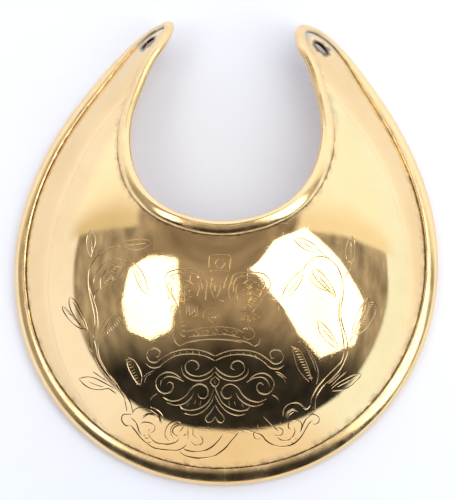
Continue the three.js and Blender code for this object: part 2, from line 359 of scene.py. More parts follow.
# The engraver's strokes on the plan, in millimetres from the neck's middle: x and y of each point.
engraving = {
    "halfWidth": {"stems": 0.17, "leaves": 0.155, "hairlines": 0.14},
    "wallSlope": 1.0, "fullDepth": 0.16, "leastDepth": 0.02,
    "lightCutsMiddle": (4.1, -43.5), "lightCutsReach": (42.7, 39.6),  # where the cuts are left light, with little dirt and painted shade, on top of the dome
    "dirtOnTop": 0.08, "dirtFrom": (0.98, 1.02),  # shares of that reach over which the dirt and painted shade begin
    "pointedOver": 1.3, "pointedPower": 0.6,  # length and shape of a stroke's tapering end
    "swell": 0.2,  # how much a stroke's width varies
    "clearance": 0.45,  # from the cuts to the face's other points
    "step": 0.5,
    "stems": [
        (-32.9, -34.4, -33.9, -36.3, -35.3, -38.2, -36, -40.1, -36.2, -42, -35.9, -44, -35.2, -46.2, -34.2,
         -48.5, -33.4, -50.7, -32.9, -52.9, -32.7, -55.3, -32.8, -58, -32.7, -60.6, -32.4, -62.8, -31.8,
         -64.6, -30.6, -66.5, -29.1, -68.4, -27.3, -70.5, -25.9, -72.4, -24.4, -73.9, -23.3, -75.5, -22.7,
         -77.3, -22.4, -78.8),
        (-36.2, -42, -35.9, -45.1, -35.2, -47.9, -34.5, -50.1, -33.9, -52.6, -33.7, -55.3, -34, -57.9,
         -34.1, -60.6, -33.9, -62.4, -33.3, -64.3, -32.1, -66.2, -30.6, -68.1, -28.8, -70, -27.3, -71.5,
         -26.2, -72.9, -25, -74.7, -24.5, -76.5, -24.2, -78.3),
        (-34.2, -48.5, -33.7, -46.3, -32.3, -44.5),
        (-33.9, -36.6, -31, -34.7, -29.6, -33.9, -27.9, -33.4),
        (-28, -37.1, -25.9, -37.8, -24.1, -38.3),
        (-35.8, -56.5, -35.2, -60.5, -34.5, -62.4),
        (24.1, -39.1, 24.6, -37.6, 25.6, -36.2, 26.9, -35.1, 28.3, -34.5, 29.9, -34.6, 31.6, -35.3, 33,
         -36.5, 34.1, -38.3, 34.9, -40.5, 35.3, -42.6, 35.2, -44.8, 34.9, -47, 34.8, -49.2, 35, -51.3,
         35.6, -53.4, 36.4, -55.4, 36.8, -57.5, 36.8, -59.6, 36.3, -61.5, 35.5, -63.4, 34.2, -65.4, 32.6,
         -67.2, 30.7, -68.9, 29.4, -70.6, 28.6, -72.5, 28.4, -74.3, 28.4, -76.1),
        (34.3, -45.2, 34.3, -47.4, 34.3, -50.1, 34.6, -51.9, 35.1, -54, 35.6, -56.1, 35.9, -58.1, 35.8,
         -60.3, 35.2, -62.2, 33.9, -63.9, 32.3, -65.6, 30.4, -67.7, 29.1, -69.3, 28.1, -71, 27.3, -72.9,
         27.2, -74.4),
        (37.3, -35.1, 36.6, -37.5, 35.3, -40.1),
        (38.5, -54.9, 37.2, -56.9, 36.7, -59.1),
        (-22.4, -78.8, -24.2, -78.8, -25.4, -78.9, -25.9, -79.8, -25.6, -80.8, -24.6, -81.7, -23.4, -81.6),
        (-23.4, -81.4, -22, -82.9, -20.3, -84.9, -18.6, -86.2, -16.9, -87.2, -14.9, -87.7, -12.5, -87.9,
         -10.2, -87.9, -8.5, -87.4, -7, -86.3),
        (-22.7, -78.8, -22.1, -77.8, -20.9, -77.2, -19.2, -77.2, -17.4, -77.6, -15.7, -78.6, -14.6, -79.8,
         -14.2, -81.4),
        (-19.8, -80.1, -19.2, -79.1, -17.8, -78.6, -16.3, -78.8, -14.9, -79.8, -14.6, -81.1),
        (-19.5, -80, -18.6, -79.1, -17.5, -78.8, -16.3, -79.2, -15.2, -80.1),
        (-8.5, -87.4, -6.8, -87.9, -4.5, -88.1, -2.3, -87.8, -0.3, -86.9, 1.4, -85.5, 2.6, -84.2, 3.1, -83.2),
        (-10, -87.9, -8.8, -88.6, -7.1, -89.3, -3.5, -89.7, 0.2, -89.1, 2.2, -88, 3.9, -86.7, 5.3, -85.1,
         6.8, -83.5, 7.6, -82.4),
        (7.6, -82.4, 9.3, -82.1, 10.9, -82.4, 12.3, -82.7, 13.9, -83.1, 15, -84.3, 16.7, -85.2, 18.6,
         -85.6, 20.5, -85.4, 22.4, -84.7, 23.8, -83.6, 24.9, -82.3, 26, -80.4, 27.1, -78.8, 27.9, -78.2),
        (28.4, -76.1, 27.3, -76.8, 26.5, -77.8),
        (19.7, -78.1, 19.7, -76.6, 20.5, -75.2, 21.8, -74.4, 23.5, -74.1, 24.8, -74.6, 25.9, -75.6, 27.2,
         -74.4),
        (20.5, -78.3, 21.1, -77, 22.1, -76.1, 23.8, -76.3),
        (-13.8, -43.5, -13.8, -42.1, -13.2, -41, -11.8, -40.4, -9.9, -40, -7.1, -39.9, -4.3, -40.7, -3.3,
         -40.9, -2.5, -42.6, -2.1, -44.5, -2.3, -46.5, -2.4, -48.4),
        (-13.8, -43.5, -13.3, -44.8, -12.4, -46.5, -11.1, -48.4, -10.2, -49.7),
        (4.4, -48.1, 4, -45.4, 4.5, -42.9, 5.2, -41.2, 6.8, -40.6, 9, -40.3, 11.2, -40.1, 13.5, -40.5,
         14.9, -41.9, 15.4, -43.5, 14.7, -44.9, 13.7, -46.6, 12.4, -48.9, 11.1, -50.6, 10.6, -51.1),
        (-8, -57, -6.4, -56.7, -2.2, -55.7, 1.9, -55.3, 6.1, -55.7, 8.9, -56.9),
        (-9.6, -61, -6.3, -59.6, -2.1, -58.9, 3.4, -58.7, 9, -59, 11.5, -60.2),
        (0.8, -63.3, -1.7, -62.2, -4.8, -61.7, -8.2, -61.8, -11.2, -62.6, -13.8, -64, -15.7, -65.3, -17.4,
         -65.1, -18.3, -63.8, -17.8, -62.2, -16.1, -61.6, -14.6, -62.4, -14.9, -63.7, -16, -63.9),
        (0.8, -63.3, 3.3, -62.1, 6.3, -61.4, 9.6, -61.3, 12.6, -61.9, 15.1, -63.2, 17, -64.4, 18.7, -64,
         19.5, -62.7, 18.9, -61.1, 17.2, -60.7, 15.9, -61.5, 16.2, -62.9, 17.3, -62.9),
        (0.8, -66, -0.8, -67.6, -3, -68.6, -5.5, -68.5, -7.2, -67.3, -7.2, -65.6, -5.9, -64.6, -4.2, -65,
         -3.6, -66.3, -4.6, -67.1),
        (0.8, -66, 2.5, -67.5, 4.8, -68.4, 7.2, -68.2, 8.9, -66.8, 8.8, -65.1, 7.4, -64.2, 5.8, -64.7, 5.3,
         -66, 6.3, -66.8),
        (-8.6, -69.4, -10.6, -68.1, -12.9, -67.9, -14.8, -68.9, -15.7, -70.6, -15.1, -72.4, -13.4, -73.4,
         -11.4, -72.8, -10.7, -71.4, -11.7, -70.4, -12.8, -71.1),
        (10.3, -68.9, 12.2, -67.5, 14.4, -67.1, 16.3, -68, 17.1, -69.6, 16.6, -71.4, 15, -72.5, 13.1,
         -72.1, 12.4, -70.7, 13.3, -69.6, 14.4, -70.2),
        (-13.7, -74.4, -11.4, -75.3, -8.9, -74.9, -6.9, -73.5, -5.5, -71.7, -3.5, -70.7, -1.6, -71.3, -0.9,
         -72.8, -1.8, -74.3, -3.4, -74.2, -3.8, -73),
        (15.3, -73.6, 13.1, -74.6, 10.6, -74.3, 8.7, -73.1, 7.3, -71.3, 5.3, -70.4, 3.4, -71.1, 2.7, -72.7,
         3.7, -74.1, 5.2, -73.9, 5.7, -72.8),
        (0.9, -71.2, 0.1, -73.3, -1.1, -75.4, -3.2, -76.9, -5.8, -77.6, -8, -77.3, -9.1, -76.2),
        (0.9, -71.2, 1.8, -73.3, 3, -75.3, 5.1, -76.6, 7.6, -77.2, 9.8, -76.8, 10.9, -75.6),
    ],
    "leaves": [
        (-36.3, -28.4, -37.3, -30.9, -37, -33.8, -35.7, -36.5),
        (-36.3, -28.4, -34.9, -30.2, -34.6, -32.6, -35.2, -34.5, -35.7, -36.5),
        (-27.9, -33.4, -25.1, -32.2, -21.7, -31.8, -19.4, -32, -18.2, -32.9),
        (-27.9, -33.4, -25.8, -34.3, -22.9, -34.7, -20.1, -34.3, -18.2, -32.9),
        (-18.4, -47.4, -18.9, -44.9, -19.9, -42.2, -21.8, -39.4, -23.6, -38.3),
        (-18.4, -47.4, -20, -46.3, -21.5, -44.1, -22.8, -41.3, -23.6, -38.3),
        (-27.6, -38.8, -29.3, -39, -31, -40.3, -32.4, -42.8, -32.3, -45.6),
        (-27.6, -38.8, -27.5, -39.9, -28.9, -42.1, -30.2, -44.2, -32.3, -45.6),
        (-25.8, -39.6, -26.9, -39.8, -28.1, -40.7, -29.1, -43.2),
        (-25.8, -39.6, -26.6, -41.3, -27.7, -42.7, -29.1, -43.2),
        (-41.8, -46.9, -41.9, -48.8, -41.1, -51, -39.3, -53.6, -37.4, -55.9, -35.8, -56.5),
        (-41.8, -46.9, -40, -48.4, -38.1, -51.3, -36.5, -54.3, -35.8, -56.5),
        (-44.1, -49.1, -43.8, -50.5, -42.1, -52.9, -39.9, -54.9, -38.3, -55.8, -36.7, -56.2),
        (-25.7, -52.5, -28.7, -53.3, -30.4, -55.7, -31, -58.6),
        (-25.7, -52.5, -26.1, -54.1, -27.5, -56, -29.8, -57.8, -31, -58.6),
        (-32.5, -56.7, -30.5, -53.5, -28.8, -51.4),
        (-38.8, -69.1, -36.1, -68.8, -33.6, -69.3, -31.2, -70.4, -28.5, -71.8, -27.7, -72.8),
        (-38.8, -69.1, -37.1, -70.7, -34.9, -71.9, -32.2, -72.3, -29.7, -72.1, -28.3, -72.8, -27.1, -73.6),
        (-24.1, -64, -22.1, -64.8, -20.6, -66.7, -19.7, -69, -20, -71.4),
        (-24.1, -64, -23.8, -66.4, -22.6, -68.7, -21.2, -70.6, -20, -71.4),
        (-28, -37.1, -30, -37.3, -32, -38.6, -33.7, -40.8, -34.7, -43.8),
        (18.8, -47.1, 19.1, -44.9, 20.7, -42.1, 23, -39.4, 24.1, -39.1),
        (18.8, -47.1, 20.8, -45.9, 22.9, -43.3, 23.9, -41, 24.1, -39.1),
        (20.8, -30, 22.6, -29.8, 25.1, -30.4, 27.6, -31.8),
        (20.8, -30, 22.4, -31.6, 24.4, -32.9, 26.6, -33.4, 27.9, -32.9),
        (27.3, -32.1, 29.3, -33.6, 31.3, -35),
        (26.5, -38, 28.2, -38.4, 30.1, -39.9, 31.8, -41.9, 33, -44.3, 33.3, -45.6),
        (26.5, -38, 27.1, -39.9, 28.6, -41.7, 30.5, -43.2, 32.5, -44.6, 33.3, -45.6),
        (25.6, -40.3, 26.6, -41.6, 28.3, -43.1, 30.3, -43.7, 31.6, -44.1),
        (36.7, -27.5, 35.7, -30, 35.4, -32.6, 35.9, -34.8, 37.3, -35.1),
        (36.7, -27.5, 37.6, -29.1, 37.9, -31.6, 37.8, -33.9, 37.3, -35.1),
        (28.5, -52, 30.6, -53.2, 32.3, -55.1, 33.7, -57.1, 34.3, -58.9),
        (28.5, -52, 29, -54.6, 30.2, -56.4, 31.8, -57.8, 33.5, -58.7, 34.3, -58.9),
        (42.1, -44.1, 40.2, -46.9, 38.9, -50.3, 38.2, -53.1, 38, -54.7),
        (42.1, -44.1, 42.3, -46.5, 41.6, -49.9, 40.1, -52.8, 38, -54.7),
        (43.9, -44.9, 44.3, -47, 43.5, -49.6, 42, -52.3, 40.1, -54.1, 38.5, -54.9),
        (41, -64.5, 39.1, -65.1, 36.9, -66.4, 34.5, -68, 32.7, -69.7),
        (41, -64.5, 39.9, -66.3, 37.8, -68.4, 35.4, -69.6, 32.9, -70.2),
        (36.9, -64.6, 34.5, -66.9, 32.6, -69),
        (21.5, -59.5, 22.4, -61.8, 23.3, -64.7, 25, -66.9, 26.9, -68.5),
        (21.5, -59.5, 23.8, -60.4, 25.2, -62.4, 26.3, -64.9, 27.5, -68.5),
        (25.3, -59, 27.3, -61.4, 28.7, -64.2, 29.1, -66.5, 28.6, -69.1),
        (25.3, -59, 26.2, -60.7, 27.6, -63.2, 28.5, -65.8),
        (-23.3, -79.6, -22.2, -80.4, -21.3, -81.6, -20.8, -83.2, -20, -84.2),
        (-18.2, -83.4, -17.6, -84.7, -16.5, -85.7, -14.8, -86.3, -12.8, -86.4, -11, -86.1, -9.6, -85.4, -9,
         -84.6),
        (-17.4, -76.9, -15.1, -77.8, -13.7, -79.3, -13.5, -81.1),
        (-20.2, -81.4, -19.6, -80.9, -18.1, -80.9, -16.7, -81.4, -16.1, -82.4, -16.6, -83.2, -17.6, -83.6),
        (-8.3, -81, -10, -80.5, -11.8, -81.1, -12.9, -82.4, -13.3, -83.9, -12.7, -85.2, -11.9, -85.9),
        (-8.1, -81.5, -9.2, -81.5, -10.6, -82.1, -11.1, -83.1, -10.4, -84.1, -9.3, -84.2),
        (-6.7, -82, -6.7, -85.3),
        (-5.2, -81.7, -5.3, -83.7, -4.7, -84.5, -3.9, -85),
        (-4.1, -83.9, -3, -84.4, -2.5, -85.4, -3.1, -86.2, -4.5, -86.5, -5.6, -86, -5.9, -85.3),
        (12.8, -80.4, 12.8, -82.2),
        (12, -81.9, 11.6, -83, 12, -84, 13.1, -84.2, 13.9, -83.6),
        (17.8, -83.1, 19.2, -83.9, 20.8, -83.9, 22.2, -83, 23, -81.4, 22.7, -80.4),
        (17.5, -81.6, 18.6, -80.9, 19.7, -81.4, 19.4, -82.5, 18.3, -82.9, 17, -82.6),
        (14.2, -78.2, 15.6, -79.4, 17.2, -80.8, 18.6, -81.8),
        (24.4, -81.6, 24.9, -79.7, 24.3, -78.8, 23, -78.6, 21.6, -79.2, 21.1, -80.3, 21.6, -81, 22.2, -81),
        (24.6, -81.3, 25.2, -79.5, 26, -78.1, 27.1, -77.2),
        (26.5, -77.8, 27.3, -76.8, 28.4, -76.7, 29.5, -77.3, 29.5, -78.3, 28.7, -79.1, 27.6, -79.1),
        (20.2, -78.1, 20.8, -76.8, 21.9, -75.9, 23, -75.8),
        (20.8, -78.5, 21.6, -77.2, 22.7, -76.5),
        (-1.9, -35.8, 1, -35.6, 3.9, -35.9, 3.9, -38.2, 3.9, -40.1),
        (-1.9, -35.8, -1.9, -38.1, -1.5, -40.3),
        (-1.5, -40.3, 1.3, -40.1, 3.9, -40.1),
        (-2.1, -40.3, -1.1, -42, -0.7, -44.5),
        (-12.5, -43.2, -12.3, -41.9, -10.9, -41.3, -8.7, -41.1, -6.2, -41.2, -4.5, -41.8, -3.6, -43.5,
         -3.3, -45.7),
        (-10.2, -50, -11.6, -50.3, -12, -51.1, -11.6, -51.8, -10.2, -51.9),
        (-10, -50, -9.3, -51.9, -9, -54, -8.9, -56.2),
        (3.8, -40.7, 2.9, -43, 2.5, -45.2),
        (5.3, -45.9, 5.3, -43.4, 6.1, -42, 7.7, -41.5, 9.9, -41.3, 11.8, -41.3, 13.3, -42.1, 13.9, -43.4,
         13.4, -44.7),
        (10.6, -50.6, 11.7, -51.6, 12.6, -52.4, 11.2, -53, 10.4, -52.5),
        (10.4, -52.2, 9.9, -54.1, 9.4, -56),
        (-2.8, -53.3, -2.6, -51.7, -1.3, -50.8, 0.9, -50.7, 2.6, -51.5, 3.8, -52.5),
        (-2.7, -50.3, -0.5, -49.2, 1.1, -48.8),
        (-7.1, -58.8, -5.7, -58.2, -0.8, -57.7, 3.7, -57.4, 7.5, -58),
        (-7.7, -56.7, -8.7, -57, -8.8, -57.9, -7.8, -58.3, -7.2, -57.6),
        (8.3, -55.8, 9.9, -55.2, 11.3, -56.2, 11.4, -57.5, 10, -58.4, 8.6, -58, 8.3, -56.8),
        (-8.3, -49.7, -8.2, -47.2, -8.5, -44.5),
        (9.7, -48.7, 9.4, -46.3, 9.5, -43.5),
        (-0.1, -41.4, 1.6, -44.4, 0.4, -47.8, -1.1, -44.5, -0.1, -41.4),
        (0.1, -51.5, 1.8, -52.7, 0.2, -54.3, -1.5, -52.9, 0.1, -51.5),
        (-10, -57, -10.8, -58.4, -10.2, -60, -9, -61),
        (12.5, -56.9, 13, -58.2, 12.5, -59.6, 11.5, -60.2),
        (0.8, -64.5, -1.7, -63.4, -4.8, -62.9, -7.9, -63, -10.7, -63.7, -12.9, -65, -14.9, -66.5, -17.1,
         -66.7, -18.7, -65.6),
        (0.8, -64.5, 3.3, -63.3, 6.3, -62.6, 9.3, -62.5, 12.1, -63, 14.3, -64.2, 16.2, -65.6, 18.4, -65.6,
         19.9, -64.5),
        (0.9, -67.3, -0.6, -68.8, -3, -69.8, -5.8, -69.6, -8, -68.2, -8.5, -66),
        (0.9, -67.3, 2.4, -68.7, 4.8, -69.5, 7.5, -69.2, 9.7, -67.7, 10.1, -65.5),
        (-7.7, -70.3, -10, -69.2, -12.4, -69, -14, -70, -14.4, -71.6),
        (9.5, -69.8, 11.6, -68.5, 14, -68.2, 15.5, -69.2, 15.9, -70.7),
        (-12.8, -75.7, -10.3, -76.4, -7.7, -75.9, -5.8, -74.4, -4.8, -72.7),
        (14.5, -74.9, 12, -75.8, 9.5, -75.3, 7.6, -74, 6.6, -72.3),
        (0.9, -73.3, -0.3, -75.6, -2.4, -77.8, -5.2, -78.8, -7.7, -78.4),
        (0.9, -73.3, 2.2, -75.6, 4.3, -77.6, 7.1, -78.4, 9.5, -77.9),
        (1, -75.8, -0.2, -77.7, -1.6, -79.3, -1.2, -80.5, 0.1, -80.2, 1, -78.9),
        (1, -75.8, 2.1, -77.6, 3.5, -79.1, 3, -80.4, 1.8, -80.2, 1, -78.9),
        (0.9, -68.6, 2.2, -69.8, 0.9, -71.3, -0.3, -69.9, 0.9, -68.6),
    ],
    "hairlines": [
        (-34.3, -57.9, -33.3, -60.9, -32.7, -63.5, -31.2, -66.2, -29.7, -68.1, -28.2, -70, -26.5, -72.1,
         -24.7, -73.7, -23.5, -75.5, -23, -76.5),
        (-36.1, -31, -35.6, -33.4, -35.5, -35.4),
        (-25.6, -33.5, -22.7, -33.2, -19.9, -32.9),
        (-22.6, -39.9, -21.3, -42.4, -19.8, -44.9),
        (-31.2, -43.4, -30.1, -41.8, -29, -40.4),
        (-41, -48.1, -39.4, -50.6, -37.7, -53.4, -36.4, -56.2),
        (-35.8, -70, -33.4, -71, -30.9, -71.7),
        (-34.5, -67.4, -32.7, -68.5, -29.7, -70.5),
        (20, -45.4, 21.5, -43.4, 23.1, -41.1),
        (22.6, -30.6, 24.6, -31.4, 26.5, -32.6),
        (28.2, -39.8, 30.2, -41.8, 32.2, -43.8),
        (36.7, -29.3, 36.9, -31.8, 36.9, -33.8),
        (29.8, -53.8, 32.1, -56.2, 33.7, -57.6),
        (41.5, -46.1, 40.3, -49.8, 38.8, -53.8),
        (39.4, -65.7, 37, -67.3, 34.3, -69),
        (35.3, -65, 33.4, -67.1, 31.8, -68.5),
        (-17.6, -82.4, -18.2, -83.4),
        (-20, -84.2, -18.8, -84.2),
        (-19.7, -84.9, -17.9, -84.9),
        (-18.6, -86, -17.4, -86),
        (-8.9, -81.3, -10.3, -81.3, -11.5, -82.3, -11.5, -83.9, -10.7, -85.1, -10.2, -85.6),
        (-9.2, -83.3, -8.4, -82.5, -7.8, -81.3),
        (-8.1, -84.3, -7, -83.5),
        (21.9, -84.3, 22.7, -84.5),
        (23, -83.2, 23.5, -83.4),
        (1.1, -36.4, 2.5, -37.9, 1.2, -39.5, -0.2, -38, 1.1, -36.4),
        (1.1, -48, 2.8, -48.5),
        (-7.6, -53.5, -4.8, -52.6),
        (-8.3, -48.9, -9.5, -47.7, -10.5, -47.6),
        (-8.3, -48.9, -9.6, -48.7, -10.5, -47.6),
        (-8.3, -48.9, -7.2, -47.7, -6.3, -47.5),
        (-8.3, -48.9, -7.1, -48.6, -6.3, -47.5),
        (-8.4, -47.2, -9.5, -46.1, -10.3, -46),
        (-8.4, -47.2, -9.5, -47, -10.3, -46),
        (-8.4, -47.2, -7.5, -46, -6.6, -45.9),
        (-8.4, -47.2, -7.3, -47, -6.6, -45.9),
        (-8.5, -45.6, -9.2, -44.4, -9.8, -44.3),
        (-8.5, -45.6, -9.2, -45.4, -9.8, -44.3),
        (-8.5, -45.6, -7.8, -44.4, -7.3, -44.3),
        (-8.5, -45.6, -7.7, -45.3, -7.3, -44.3),
        (9.7, -47.9, 8.5, -46.8, 7.5, -46.7),
        (9.7, -47.9, 8.4, -47.7, 7.5, -46.7),
        (9.7, -47.9, 10.7, -46.7, 11.7, -46.5),
        (9.7, -47.9, 10.9, -47.6, 11.7, -46.5),
        (9.6, -46.3, 8.6, -45.2, 7.7, -45.1),
        (9.6, -46.3, 8.5, -46.1, 7.7, -45.1),
        (9.6, -46.3, 10.5, -45.1, 11.3, -44.9),
        (9.6, -46.3, 10.6, -46, 11.3, -44.9),
        (9.5, -44.6, 8.8, -43.5, 8.2, -43.4),
        (9.5, -44.6, 8.8, -44.4, 8.2, -43.4),
        (9.5, -44.6, 10.1, -43.4, 10.7, -43.3),
        (9.5, -44.6, 10.2, -44.4, 10.7, -43.3),
        (-10.6, -48.6, -11.9, -46.5, -11.9, -44.3),
        (-10, -43.9, -8, -43.1, -5.8, -44.1),
        (-4.8, -47.4, -4.2, -45.2, -4.7, -43.2),
        (6.6, -48.1, 6, -45.3, 6.4, -43.1),
        (7.8, -43.3, 9.7, -42.3, 11.6, -43.1),
        (12.4, -46.9, 13.1, -45, 12.5, -43.4),
        (0, -42.8, 0.2, -46.1),
        (-0.6, -44.5, 0.9, -44.4),
        (-0.6, -53, 1, -52.8),
        (-5.5, -57.6, -4.7, -56.9, -3.8, -57.5, -4.6, -58.2, -5.5, -57.6),
        (-2.9, -57.1, -2, -56.4, -1.2, -57, -2, -57.8, -2.9, -57.1),
        (-0.2, -56.7, 0.6, -56, 1.4, -56.7, 0.6, -57.4, -0.2, -56.7),
        (2.4, -56.6, 3.2, -55.9, 4.1, -56.6, 3.3, -57.3, 2.4, -56.6),
        (5, -56.9, 5.8, -56.2, 6.7, -56.8, 5.9, -57.6, 5, -56.9),
        (-12.1, -48, -12.5, -48.4, -12.9, -48, -12.5, -47.6, -12.1, -48),
        (-12.5, -46.1, -12.9, -46.5, -13.3, -46.1, -12.9, -45.7, -12.5, -46.1),
        (-12.1, -44.1, -12.5, -44.5, -13, -44.1, -12.6, -43.7, -12.1, -44.1),
        (-11.2, -42.4, -11.6, -42.9, -12, -42.4, -11.6, -42, -11.2, -42.4),
        (-9.7, -41.2, -10.1, -41.7, -10.5, -41.3, -10.1, -40.8, -9.7, -41.2),
        (-7.8, -40.7, -8.2, -41.2, -8.7, -40.8, -8.3, -40.3, -7.8, -40.7),
        (-5.9, -41, -6.3, -41.4, -6.8, -41, -6.4, -40.6, -5.9, -41),
        (-4.2, -41.9, -4.6, -42.3, -5.1, -41.9, -4.7, -41.5, -4.2, -41.9),
        (-3, -43.4, -3.4, -43.9, -3.8, -43.5, -3.4, -43, -3, -43.4),
        (14.6, -46.1, 14.2, -46.6, 13.8, -46.2, 14.2, -45.7, 14.6, -46.1),
        (14.6, -44.5, 14.2, -44.9, 13.7, -44.6, 14.1, -44.1, 14.6, -44.5),
        (14, -43, 13.6, -43.4, 13.1, -43, 13.5, -42.6, 14, -43),
        (12.8, -41.8, 12.4, -42.2, 12, -41.8, 12.4, -41.4, 12.8, -41.8),
        (11.3, -41, 10.9, -41.5, 10.5, -41.1, 10.8, -40.6, 11.3, -41),
        (9.6, -40.8, 9.2, -41.3, 8.7, -40.9, 9.1, -40.4, 9.6, -40.8),
        (7.9, -41.2, 7.5, -41.6, 7.1, -41.2, 7.5, -40.8, 7.9, -41.2),
        (6.5, -42.1, 6.1, -42.6, 5.6, -42.2, 6, -41.7, 6.5, -42.1),
        (5.4, -43.5, 5, -43.9, 4.6, -43.5, 5, -43.1, 5.4, -43.5),
        (-6.8, -59.9, -3.5, -59.2, 0.7, -58.8, 4.8, -58.9, 8.4, -59.4),
        (0.9, -69.2, 0.9, -70.7),
        (-10.1, -62.6, -10.9, -64.2),
        (11.5, -62, 12.4, -63.5),
        (-8.7, -62, -9.2, -63.6),
        (10.1, -61.5, 10.7, -63.1),
        (-7, -61.9, -7.3, -63.3),
        (8.5, -61.4, 8.8, -62.9),
        (-5.4, -61.8, -5.3, -63.3),
        (6.8, -61.5, 6.9, -62.9),
        (-3.7, -62, -3.4, -63.5),
        (5.2, -61.8, 4.9, -63.3),
        (-16.6, -68, -18.3, -69, -19.1, -70.8),
        (17.9, -67, 19.6, -67.9, 20.4, -69.7),
        (-16, -67.4, -17.7, -68, -19.4, -69.3),
        (17.4, -66.5, 19, -66.9, 20.7, -68.1),
        (-15.1, -73.4, -16.5, -74.2, -17.4, -75.5),
        (16.6, -72.5, 18, -73.2, 18.8, -74.4),
        (-4.4, -75, -4.9, -76.3),
        (6.2, -74.7, 6.8, -76),
        (-3, -75, -3.2, -76.5),
        (4.8, -74.7, 5.1, -76.3),
        (-6.3, -75.6, -7.2, -76.9),
        (8.2, -75.1, 9, -76.4),
    ],
}

# Shaded patches: where the row of strokes starts and ends, one stroke's x and y, and how many.
hatching = [
    (-44.3, -49.4, -37.4, -56.2, 2.05, -0.95, 13),
    (-28.7, -39.3, -31.4, -43.7, 1.5, -0.65, 8),
    (-26.1, -39.9, -28.5, -43.2, -1.26, 0.75, 7),
    (-26.7, -53.1, -30.1, -57, 0.97, -1.36, 8),
    (-23.2, -64.3, -20, -70.8, -1.51, -0.41, 10),
    (26.1, -40.6, 31.1, -44.2, 1.32, 1.06, 9),
    (43.6, -45.2, 39.6, -54.2, -1.48, -0.38, 14),
    (22.1, -60.3, 26.4, -67.5, 1.51, 0.34, 12),
    (-7.5, -49.4, -4.4, -49.6, -0.05, -3, 8),
    (7.3, -50.5, 9.8, -50.6, 0.24, -3.51, 7),
    (-11.4, -48.6, -8.9, -55.6, 1.39, 0.3, 8),
    (13.1, -45.3, 10, -50.3, -1.54, 0.61, 8),
]
hatchLengths = 0.72, 1.12  # shares of the stroke, shortest and longest


def hatchTree(material):
    # a row of like strokes between two points
    tree = bpy.data.node_groups.new("hatching", "GeometryNodeTree")
    inputs = (("Geometry", "Geometry"), ("From", "Vector"), ("To", "Vector"), ("Stroke", "Vector"),
              ("Count", "Int"), ("Seed", "Int"))
    for name, kind in inputs:
        tree.interface.new_socket(name, in_out="INPUT", socket_type="NodeSocket" + kind)
    tree.interface.new_socket("Geometry", in_out="OUTPUT", socket_type="NodeSocketGeometry")
    nodes, links = tree.nodes, tree.links
    given, result = nodes.new("NodeGroupInput"), nodes.new("NodeGroupOutput")
    row = nodes.new("GeometryNodeMeshLine")
    row.mode = "END_POINTS"
    links.new(given.outputs["Count"], row.inputs["Count"])
    links.new(given.outputs["From"], row.inputs["Start Location"])
    links.new(given.outputs["To"], row.inputs["Offset"])
    line, wire = nodes.new("GeometryNodeCurvePrimitiveLine"), nodes.new("GeometryNodeCurveToMesh")
    links.new(given.outputs["Stroke"], line.inputs["End"])
    links.new(line.outputs[0], wire.inputs["Curve"])
    uneven = nodes.new("FunctionNodeRandomValue")  # no two strokes are equally long
    uneven.data_type = "FLOAT_VECTOR"
    for socket, share in zip(uneven.inputs, hatchLengths):
        socket.default_value = (share, share, 1)
    links.new(given.outputs["Seed"], uneven.inputs["Seed"])
    place = nodes.new("GeometryNodeInstanceOnPoints")
    links.new(row.outputs[0], place.inputs["Points"])
    links.new(wire.outputs[0], place.inputs["Instance"])
    links.new(uneven.outputs[0], place.inputs["Scale"])
    real, finish = nodes.new("GeometryNodeRealizeInstances"), nodes.new("GeometryNodeSetMaterial")
    links.new(place.outputs[0], real.inputs[0])
    links.new(real.outputs[0], finish.inputs["Geometry"])
    finish.inputs["Material"].default_value = material
    links.new(finish.outputs[0], result.inputs[0])
    return tree


def hatchStrokes(material):
    # the patches' strokes, read back as pairs of points
    tree = hatchTree(material)
    sockets = {item.name: item.identifier for item in tree.interface.items_tree if item.in_out == "INPUT"}
    strokes = []
    for seed, (fromX, fromY, toX, toY, strokeX, strokeY, count) in enumerate(hatching):
        holder = bpy.data.objects.new("hatchPatch", bpy.data.meshes.new("hatchPatch"))
        bpy.context.collection.objects.link(holder)
        modifier = holder.modifiers.new("hatching", "NODES")
        modifier.node_group = tree
        modifier[sockets["From"]] = (fromX, fromY, 0.0)
        modifier[sockets["To"]] = (toX, toY, 0.0)
        modifier[sockets["Stroke"]] = (strokeX, strokeY, 0.0)
        modifier[sockets["Count"]] = count
        modifier[sockets["Seed"]] = seed
        made = bpy.data.meshes.new_from_object(holder.evaluated_get(bpy.context.evaluated_depsgraph_get()))
        for edge in made.edges:
            strokes.append(np.array([made.vertices[v].co[:2] for v in edge.vertices]))
        bpy.data.objects.remove(holder)
        bpy.data.meshes.remove(made)
    return strokes


def smoothLine(points, step):
    # a curve through the points, at even steps
    ends = np.vstack([2 * points[0] - points[1], points, 2 * points[-1] - points[-2]])
    before, start, stop, after = ends[:-3], ends[1:-2], ends[2:-1], ends[3:]
    t = np.linspace(0, 1, 13)[:-1, None, None]
    curve = 0.5 * (2 * start + (stop - before) * t + (2 * before - 5 * start + 4 * stop - after) * t ** 2
                   + (3 * start - before - 3 * stop + after) * t ** 3)
    curve = np.vstack([curve.transpose(1, 0, 2).reshape(-1, 2), points[-1:]])
    run = np.concatenate([[0], np.cumsum(np.linalg.norm(np.diff(curve, axis=0), axis=1))])
    places = np.linspace(0, run[-1], max(4, int(run[-1] / step) + 2))
    return np.stack([np.interp(places, run, curve[:, i]) for i in (0, 1)], -1), places


